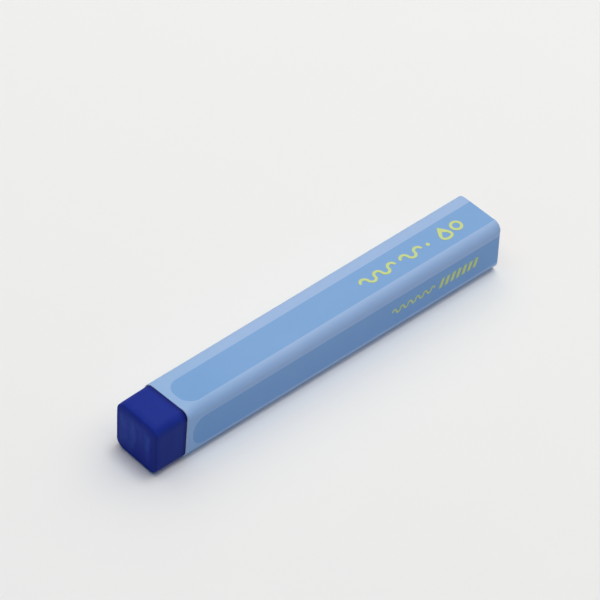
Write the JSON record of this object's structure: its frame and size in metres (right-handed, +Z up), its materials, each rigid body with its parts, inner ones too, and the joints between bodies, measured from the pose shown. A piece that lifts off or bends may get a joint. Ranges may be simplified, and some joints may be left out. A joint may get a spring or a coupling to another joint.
{
  "type": "watercolor pastel stick",
  "caption": "Square stick of blue watercolour pastel in a light blue paper wrapper printed with round-ended panels and small yellow-green marks, with its drawing tip bare.",
  "frame": {"origin": "centre of the stick's length and width, on the surface that it lies on", "axes": "+X along the stick from its bare tip to its wrapped end, +Z up through the face with the larger marks, -Y out of the side face that carries the row of strokes; the wrapper's lap is on the +Y face"},
  "size_m": [0.0746, 0.0102, 0.0101],
  "materials": {
    "pastel": "matte",
    "wrapper_paper": "satin"
  },
  "bodies": {
    "root": {"pastel_stick": "pastel", "paper_wrapper": "wrapper_paper"}
  },
  "joints": []
}
